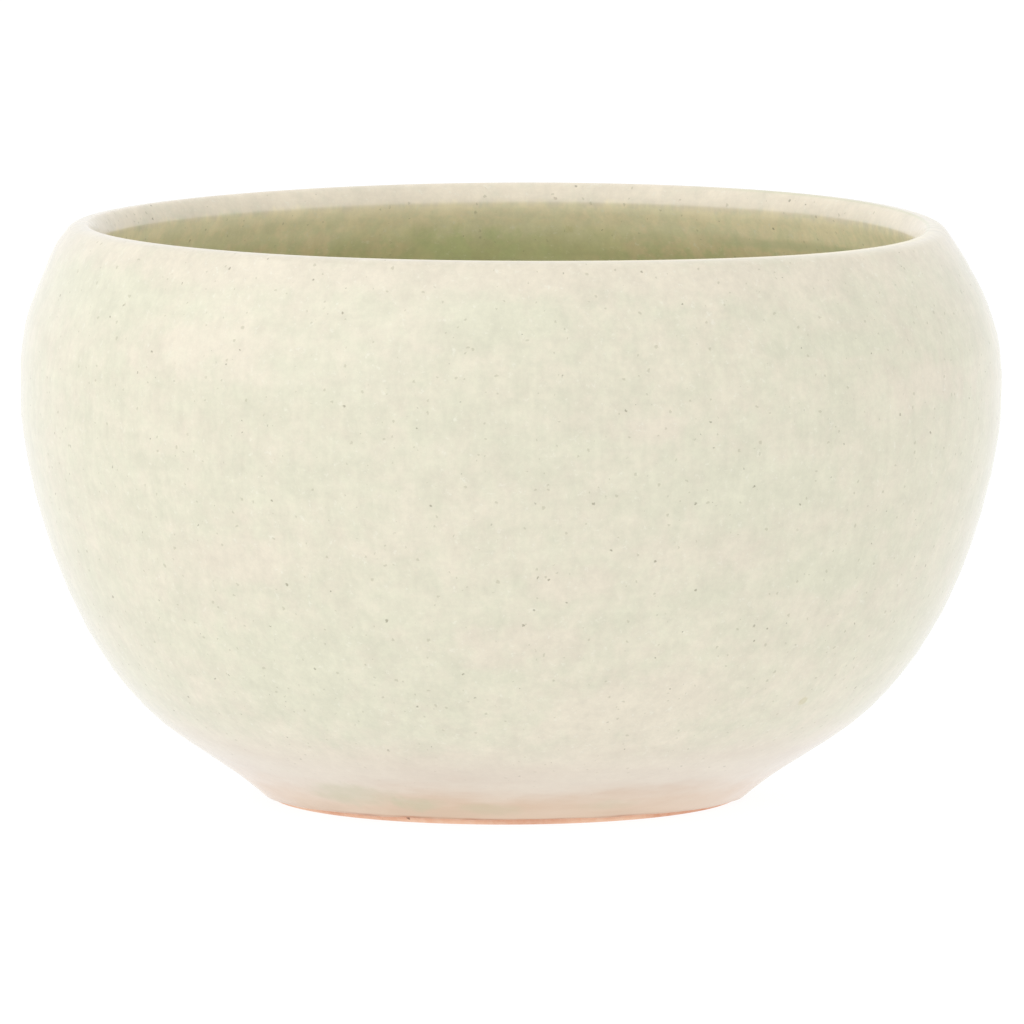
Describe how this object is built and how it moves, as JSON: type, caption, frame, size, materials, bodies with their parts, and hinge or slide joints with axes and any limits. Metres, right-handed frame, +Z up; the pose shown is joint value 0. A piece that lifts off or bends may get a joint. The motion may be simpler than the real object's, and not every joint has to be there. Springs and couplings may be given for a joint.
{
  "type": "bonsai pot",
  "caption": "Round bonsai pot with an incurved lip and celadon glaze, on a low foot ring with drainage notches, with a clipped mesh screen over its drain hole.",
  "frame": {"origin": "centre of the ring that the pot stands on, on the table", "axes": "+Z up along the pot's axis; +X and -X through the tie-wire holes and the foot's notches"},
  "size_m": [0.122, 0.122, 0.072],
  "materials": {
    "clay": "matte",
    "outer_celadon": "satin",
    "inner_celadon": "gloss",
    "screen_plastic": "satin",
    "clip_wire": "satin"
  },
  "bodies": {
    "root": {"clay_bowl": "clay", "foot_ring": "clay", "outer_glaze": "outer_celadon", "inner_glaze": "inner_celadon", "drain_screen": "screen_plastic", "screen_clip": "clip_wire"}
  },
  "joints": []
}
